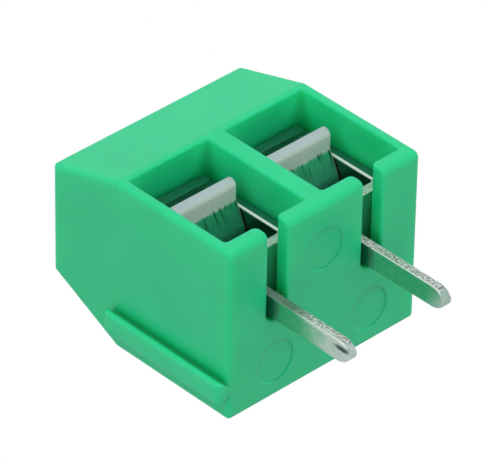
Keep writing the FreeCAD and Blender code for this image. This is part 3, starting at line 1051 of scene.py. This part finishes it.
@dataclass
class ClampScrew:
    """A clamp screw: slotted cross head, neck and rolled thread down to a chamfered tip."""

    number: int
    finish: TurnedScrew
    columns: int = 96
    crest_radius: float = 1.20 * MM
    thread_depth: float = 0.24 * MM
    thread_pitch: float = 0.45 * MM
    crest_share: float = 0.08
    root_share: float = 0.42
    rows_per_turn: int = 12
    head_height: float = 1.20 * MM
    head_edge: float = 0.18 * MM
    edge_rows: int = 5
    neck_length: float = 0.35 * MM
    tip_chamfer: float = 0.45 * MM
    slot_width: float = 0.60 * MM
    slot_depth: float = 0.70 * MM
    cross_length: float = 2.20 * MM
    overcut: float = 0.50 * MM
    smooth_degrees: float = 38.0

    def __post_init__(self) -> None:
        """Takes the screw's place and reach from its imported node."""
        low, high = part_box(self.node())
        self.tip = low.z
        self.top = high.z
        self.head_radius = (high.x - low.x) / 2
        self.axis_place = Vector(((low.x + high.x) / 2, (low.y + high.y) / 2, 0.0))

    def node(self) -> str:
        """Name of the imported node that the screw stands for."""
        return "clamp_screw_%d" % self.number

    def thread_radius(self, height: float, turn: float) -> float:
        """Radius of the threaded shank.

        Args:
            height: height above the board face.
            turn: angle round the axis, as a share of a full turn.

        Returns:
            The radius there, within the chamfer at the tip and the neck under the head.
        """
        phase = (height / self.thread_pitch - turn) % 1.0
        from_crest = min(phase, 1.0 - phase)
        flank = (self.root_share - from_crest) / (self.root_share - self.crest_share)
        lift = min(max(flank, 0.0), 1.0)
        neck = (self.top - self.head_height - height) / self.neck_length
        root = self.crest_radius - self.thread_depth
        radius = root + self.thread_depth * lift * min(max(neck, 0.0), 1.0)
        chamfer = self.crest_radius - self.tip_chamfer + (height - self.tip)
        return min(radius, chamfer)

    def head_profile(self) -> list[tuple[float, float]]:
        """Radius and height of the head's outline, from its underside to its top."""
        bottom = self.top - self.head_height
        inner = self.head_radius - self.head_edge
        points = []
        for centre, start in ((bottom + self.head_edge, -90.0), (self.top - self.head_edge, 0.0)):
            for row in range(self.edge_rows + 1):
                angle = math.radians(start + 90.0 * row / self.edge_rows)
                points.append((inner + self.head_edge * math.cos(angle),
                               centre + self.head_edge * math.sin(angle)))
        return points

    def turned_blank(self) -> bpy.types.Mesh:
        """Makes the screw before its slots are cut.

        Returns:
            A closed mesh.
        """
        form = bmesh.new()
        step = self.thread_pitch / self.rows_per_turn
        shank_rows = int((self.top - self.head_height - self.tip) / step)
        rings = []
        for row in range(shank_rows + 1):
            height = self.tip + row * step
            rings.append(self.ring(form, height, lambda turn, z=height: self.thread_radius(z, turn)))
        for radius, height in self.head_profile():
            rings.append(self.ring(form, height, lambda turn, r=radius: r))
        for lower, upper in zip(rings, rings[1:]):
            for index in range(self.columns):
                after = (index + 1) % self.columns
                form.faces.new((lower[index], lower[after], upper[after], upper[index]))
        form.faces.new(list(reversed(rings[0])))
        form.faces.new(rings[-1])
        return to_mesh(self.node() + "_blank", form)

    def ring(self, form: bmesh.types.BMesh, height: float,
             radius_at: Callable[[float], float]) -> list[bmesh.types.BMVert]:
        """Adds one closed ring of points.

        Args:
            form: the mesh under construction.
            height: the ring's height.
            radius_at: gives the radius at a share of a full turn.

        Returns:
            The ring's points in order.
        """
        points = []
        for index in range(self.columns):
            turn = index / self.columns
            angle = 2 * math.pi * turn
            radius = radius_at(turn)
            offset = Vector((radius * math.cos(angle), radius * math.sin(angle), height))
            points.append(form.verts.new(self.axis_place + offset))
        return points

    def cutter(self, name: str, half_x: float, half_y: float) -> bpy.types.Object:
        """Makes one box that cuts a slot into the head.

        Args:
            name: the object's name.
            half_x: half its size along X.
            half_y: half its size along Y.

        Returns:
            The cutter.
        """
        form = bmesh.new()
        height = self.slot_depth + self.overcut
        middle = self.axis_place + Vector((0, 0, self.top - self.slot_depth + height / 2))
        place = Matrix.Translation(middle) @ Matrix.Diagonal((2 * half_x, 2 * half_y, height, 1))
        bmesh.ops.create_cube(form, size=1.0, matrix=place)
        return show(name, to_mesh(name, form))

    def build(self, effects: Effects) -> None:
        """Makes the screw, cuts its slots, dresses it and puts it in its node's place.

        Args:
            effects: the shared node groups.
        """
        blank = show(self.node() + "_blank", self.turned_blank())
        half = self.slot_width / 2
        cutters = [
            self.cutter("slot_cutter", self.head_radius + self.overcut, half),
            self.cutter("cross_cutter", half, self.cross_length / 2),
        ]
        for tool in cutters:
            cut = blank.modifiers.new(tool.name, "BOOLEAN")
            cut.operation = "DIFFERENCE"
            cut.solver = "EXACT"
            cut.object = tool
        state = bpy.context.evaluated_depsgraph_get()
        mesh = bpy.data.meshes.new_from_object(blank.evaluated_get(state))
        for scrap in [blank, *cutters]:
            bpy.data.objects.remove(scrap)
        screw = show("threaded_screw_%d" % self.number, mesh)
        dress(screw, self.finish.build(effects, self.axis_place), self.smooth_degrees)
        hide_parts(self.node())
        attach(screw, "screw_%d" % self.number)
        log.info("clamp screw %d made with %d faces", self.number, len(mesh.polygons))


@dataclass
class Stage:
    """Pale floor under the pin tips, seen only from above."""

    half_size: float = 4.0
    colour: Colour = (0.86, 0.87, 0.87)
    roughness: float = 0.9
    camera_lift: float = 0.22

    def build(self) -> None:
        """Makes the floor at the height of the lowest pin tip."""
        low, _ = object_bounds()
        form = bmesh.new()
        reach = self.half_size
        corners = [form.verts.new((x, y, low.z)) for x, y in
                   ((-reach, -reach), (reach, -reach), (reach, reach), (-reach, reach))]
        form.faces.new(corners)
        floor = show("studio_floor", to_mesh("studio_floor", form))
        floor.data.materials.append(self.material())
        for ray in ("diffuse", "glossy", "transmission", "shadow"):
            setattr(floor, "visible_" + ray, False)
        floor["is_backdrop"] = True
        log.info("floor laid at %.2f mm", low.z / MM)

    def material(self) -> bpy.types.Material:
        """Matt paint that is clear from behind and a little lifted to the camera.

        Returns:
            The floor's material.
        """
        material, graph, shader = new_material("pale_floor")
        path = graph.add("ShaderNodeLightPath")
        lift = graph.product(path.outputs["Is Camera Ray"], self.camera_lift)
        graph.feed(shader, {"Base Color": self.colour, "Roughness": self.roughness,
                            "Emission Color": WHITE, "Emission Strength": lift})
        clear = graph.add("ShaderNodeBsdfTransparent")
        side = graph.add("ShaderNodeNewGeometry")
        both = graph.add("ShaderNodeMixShader", {
            0: side.outputs["Backfacing"], 1: shader.outputs[0], 2: clear.outputs[0]})
        output = next(node for node in graph.tree.nodes if node.type == "OUTPUT_MATERIAL")
        graph.feed(output, {"Surface": both.outputs[0]})
        return material


@dataclass
class Studio:
    """White surroundings, brighter beyond the open back, and one broad lamp over it."""

    fill: float = 0.54
    fill_slope: Three = (0.08, 0.33, 0.0)
    mirrored: float = 0.65
    backdrop: float = 1.0
    key_strength: float = 0.38
    key_softness_degrees: float = 60.0
    key_from: Vector = field(default_factory=lambda: Vector((0.25, 0.93, -0.20)))

    def build(self) -> None:
        """Sets the world and the lamp."""
        world = bpy.data.worlds.new("white_studio")
        world.use_nodes = True
        world.node_tree.nodes.clear()
        graph = Graph(world.node_tree)
        slope = graph.vector("DOT_PRODUCT", graph.place("Generated"), self.fill_slope)
        fill = graph.math("ADD", slope, self.fill)
        path = graph.add("ShaderNodeLightPath")
        seen = graph.math("ADD", path.outputs["Is Camera Ray"], path.outputs["Is Transmission Ray"],
                          clamp=True)
        mirror = graph.blend(path.outputs["Is Glossy Ray"], fill, self.mirrored)
        strength = graph.blend(seen, mirror, self.backdrop)
        light = graph.add("ShaderNodeBackground", {"Color": WHITE, "Strength": strength})
        graph.add("ShaderNodeOutputWorld", {"Surface": light.outputs[0]})
        bpy.context.scene.world = world
        lamp = bpy.data.lights.new("soft_key", "SUN")
        lamp.energy = self.key_strength
        lamp.angle = math.radians(self.key_softness_degrees)
        key = show("soft_key", lamp)
        key.rotation_mode = "QUATERNION"
        key.rotation_quaternion = self.key_from.to_track_quat("Z", "Y")
        log.info("studio lit")


@dataclass
class PhotoCamera:
    """Long lens below the board face, looking at the open back, the pins and the rail end."""

    place: Vector = field(default_factory=lambda: Vector((115.0253, 120.2431, -114.6160)) * MM)
    aim: Vector = field(default_factory=lambda: Vector((-0.1166, -0.2625, 4.6221)) * MM)
    picture_up: Vector = field(default_factory=lambda: Vector((-0.39494, 0.80870, 0.43593)))
    lens_mm: float = 384.566
    sensor_mm: float = 36.0
    clip: tuple[float, float] = (0.01, 20.0)

    def build(self) -> None:
        """Makes the camera and turns it to the part."""
        data = bpy.data.cameras.new("photo_camera")
        data.sensor_width = self.sensor_mm
        data.lens = self.lens_mm
        data.clip_start, data.clip_end = self.clip
        camera = show("photo_camera", data)
        back = (self.place - self.aim).normalized()
        right = self.picture_up.cross(back).normalized()
        up = back.cross(right)
        turn = Matrix((right, up, back)).transposed().to_4x4()
        camera.matrix_world = Matrix.Translation(self.place) @ turn
        bpy.context.scene.camera = camera
        log.info("camera placed %.1f mm from the part", (self.place - self.aim).length / MM)


def poles() -> list[PoleMetal]:
    """Contacts and guards of both poles with their own finishes, in the record's order."""
    far = PoleMetal(1, ContactStrip("plated_contact_1", pole_x=-HALF_PITCH), FoldedStrip("guard_strip_1"))
    near = PoleMetal(2, HammeredPin("plated_contact_2", pole_x=HALF_PITCH),
                     # The near guard's ramp gets a darker painted green reflection.
                     FoldedStrip("guard_strip_2", ramp_green_reflection=(0.04, 0.44, 0.25)))
    return [far, near]


def set_colours() -> None:
    """Shows colours as they are written."""
    bpy.context.scene.view_settings.view_transform = "Standard"


def main() -> None:
    """Builds and dresses the terminal in its studio."""
    logging.basicConfig(level=logging.INFO, format="%(name)s: %(message)s")
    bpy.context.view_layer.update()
    set_colours()
    effects = Effects()
    Housing().build(effects)
    for pole in poles():
        pole.build(effects)
    for number in (1, 2):
        ClampScrew(number, TurnedScrew("zinc_screw_%d" % number)).build(effects)
    Stage().build()
    Studio().build()
    PhotoCamera().build()


if __name__ == "__main__":
    main()
